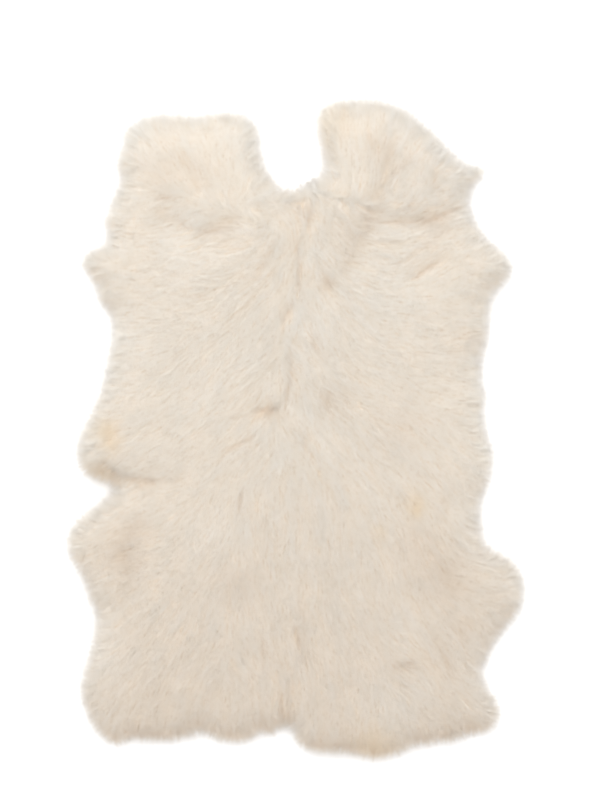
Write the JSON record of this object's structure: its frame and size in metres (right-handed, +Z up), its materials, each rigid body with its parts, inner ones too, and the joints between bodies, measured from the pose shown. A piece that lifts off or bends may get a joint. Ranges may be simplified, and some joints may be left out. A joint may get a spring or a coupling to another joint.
{
  "type": "rabbit fur rug",
  "caption": "Small rug of natural rabbit pelt, spread flat with its deep cream fur up, with an uneven cut edge and a hollow at the neck end.",
  "frame": {"origin": "on the floor under the middle of the rug's bounding box", "axes": "+Z up out of the fur, +Y towards the neck end along the rug's length, +X to the right as the fur is looked down on"},
  "size_m": [0.301, 0.435, 0.0216],
  "materials": {
    "coat": "dense soft fur, cream white",
    "skin": "tanned suede flesh side, matte"
  },
  "bodies": {
    "root": {"pelt": "coat"}
  },
  "joints": []
}
